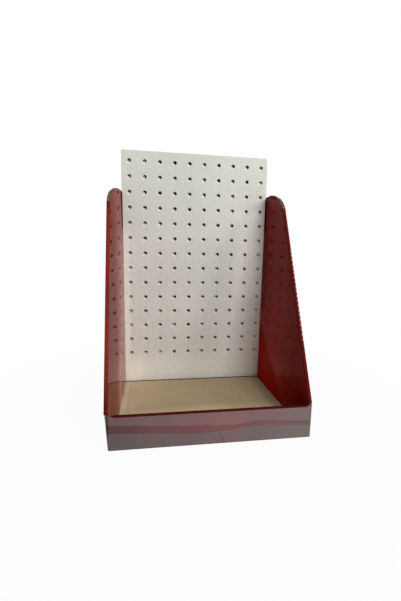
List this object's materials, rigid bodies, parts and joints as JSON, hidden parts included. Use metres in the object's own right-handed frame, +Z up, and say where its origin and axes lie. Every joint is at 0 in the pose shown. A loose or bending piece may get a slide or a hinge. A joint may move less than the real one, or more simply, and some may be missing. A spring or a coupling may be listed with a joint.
{
  "type": "cardboard display stand",
  "caption": "Counter display stand of folded corrugated board: a low-fronted tray with tall slant-edged side walls and an upright white peg panel at the back.",
  "frame": {"origin": "centre of the tray's underside, between the two side walls and between the front and the back wall", "axes": "+Z up, -Y towards the low front wall, +X towards the right wall as seen from the front"},
  "size_m": [0.2683, 0.2106, 0.4043],
  "materials": {
    "laminated_red_board": "glossy film over dark red print outside, plain brown inside",
    "white_board": "matt white paper face"
  },
  "bodies": {
    "root": {"folded_tray": "laminated_red_board", "peg_panel": "white_board"}
  },
  "joints": []
}
